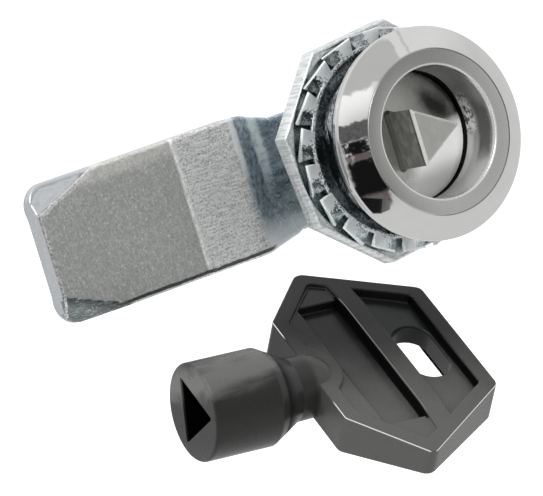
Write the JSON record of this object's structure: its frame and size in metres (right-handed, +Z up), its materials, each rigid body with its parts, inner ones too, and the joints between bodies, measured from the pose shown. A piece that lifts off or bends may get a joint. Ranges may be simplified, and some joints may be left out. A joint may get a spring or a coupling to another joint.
{
  "type": "triangular key cabinet lock",
  "caption": "Quarter-turn cabinet lock with a triangular drive, cranked cam, nut, toothed washer and moulded key.",
  "frame": {"origin": "on the lock's axis, in the plane where the gasket's rear face meets the panel's front face", "axes": "+Y runs along the axis from the head to the rear, -X is where the cam points when shut, +Z is up"},
  "size_m": [0.0719, 0.0642, 0.0515],
  "materials": {
    "head_chrome": "polished chrome on a zinc casting",
    "gasket_rubber": "matt black rubber",
    "rotor_nickel": "satin nickel plate on a casting",
    "zinc_plate": "bright zinc plate",
    "cam_zinc": "zinc plate with rolling grain and fine scratches",
    "spring_steel": "zinc-plated spring steel",
    "tooth_zinc": "bright zinc plate",
    "nut_zinc": "zinc plate with a rough punched edge",
    "key_plastic": "semi-gloss black moulding"
  },
  "bodies": {
    "lock_body": {"housing": "head_chrome", "flange_seal": "gasket_rubber"},
    "turning_set": {"rotor": "rotor_nickel", "rotor_o_ring": "gasket_rubber", "stop_plate": "zinc_plate", "cam": "cam_zinc", "cam_washer": "zinc_plate", "spring_washer": "spring_steel", "cam_screw": "zinc_plate"},
    "lock_washer": {"tooth_washer": "tooth_zinc"},
    "nut": {"octagon_nut": "nut_zinc"},
    "loose_key": {"key": "key_plastic"}
  },
  "joints": [
    {"name": "rotor_turn", "type": "hinge", "parent": "lock_body", "child": "turning_set", "pos_m": [0, 0, 0], "axis": [0, -1, 0], "range_deg": [0, 90]},
    {"name": "washer_travel", "type": "slide", "parent": "lock_body", "child": "lock_washer", "axis": [0, 1, 0], "range_m": [-0.0021, 0.0021]},
    {"name": "nut_turn", "type": "hinge", "parent": "lock_washer", "child": "nut", "pos_m": [0, 0.0072, 0], "axis": [0, 1, 0], "range_deg": [-480, 480]},
    {"name": "key_lift", "type": "slide", "parent": "lock_body", "child": "loose_key", "axis": [0, 0, 1], "range_m": [0, 0.02]}
  ],
  "couplings": [
    {"joint": "washer_travel", "follows": "nut_turn", "m_per_rad": 0.00023873}
  ]
}
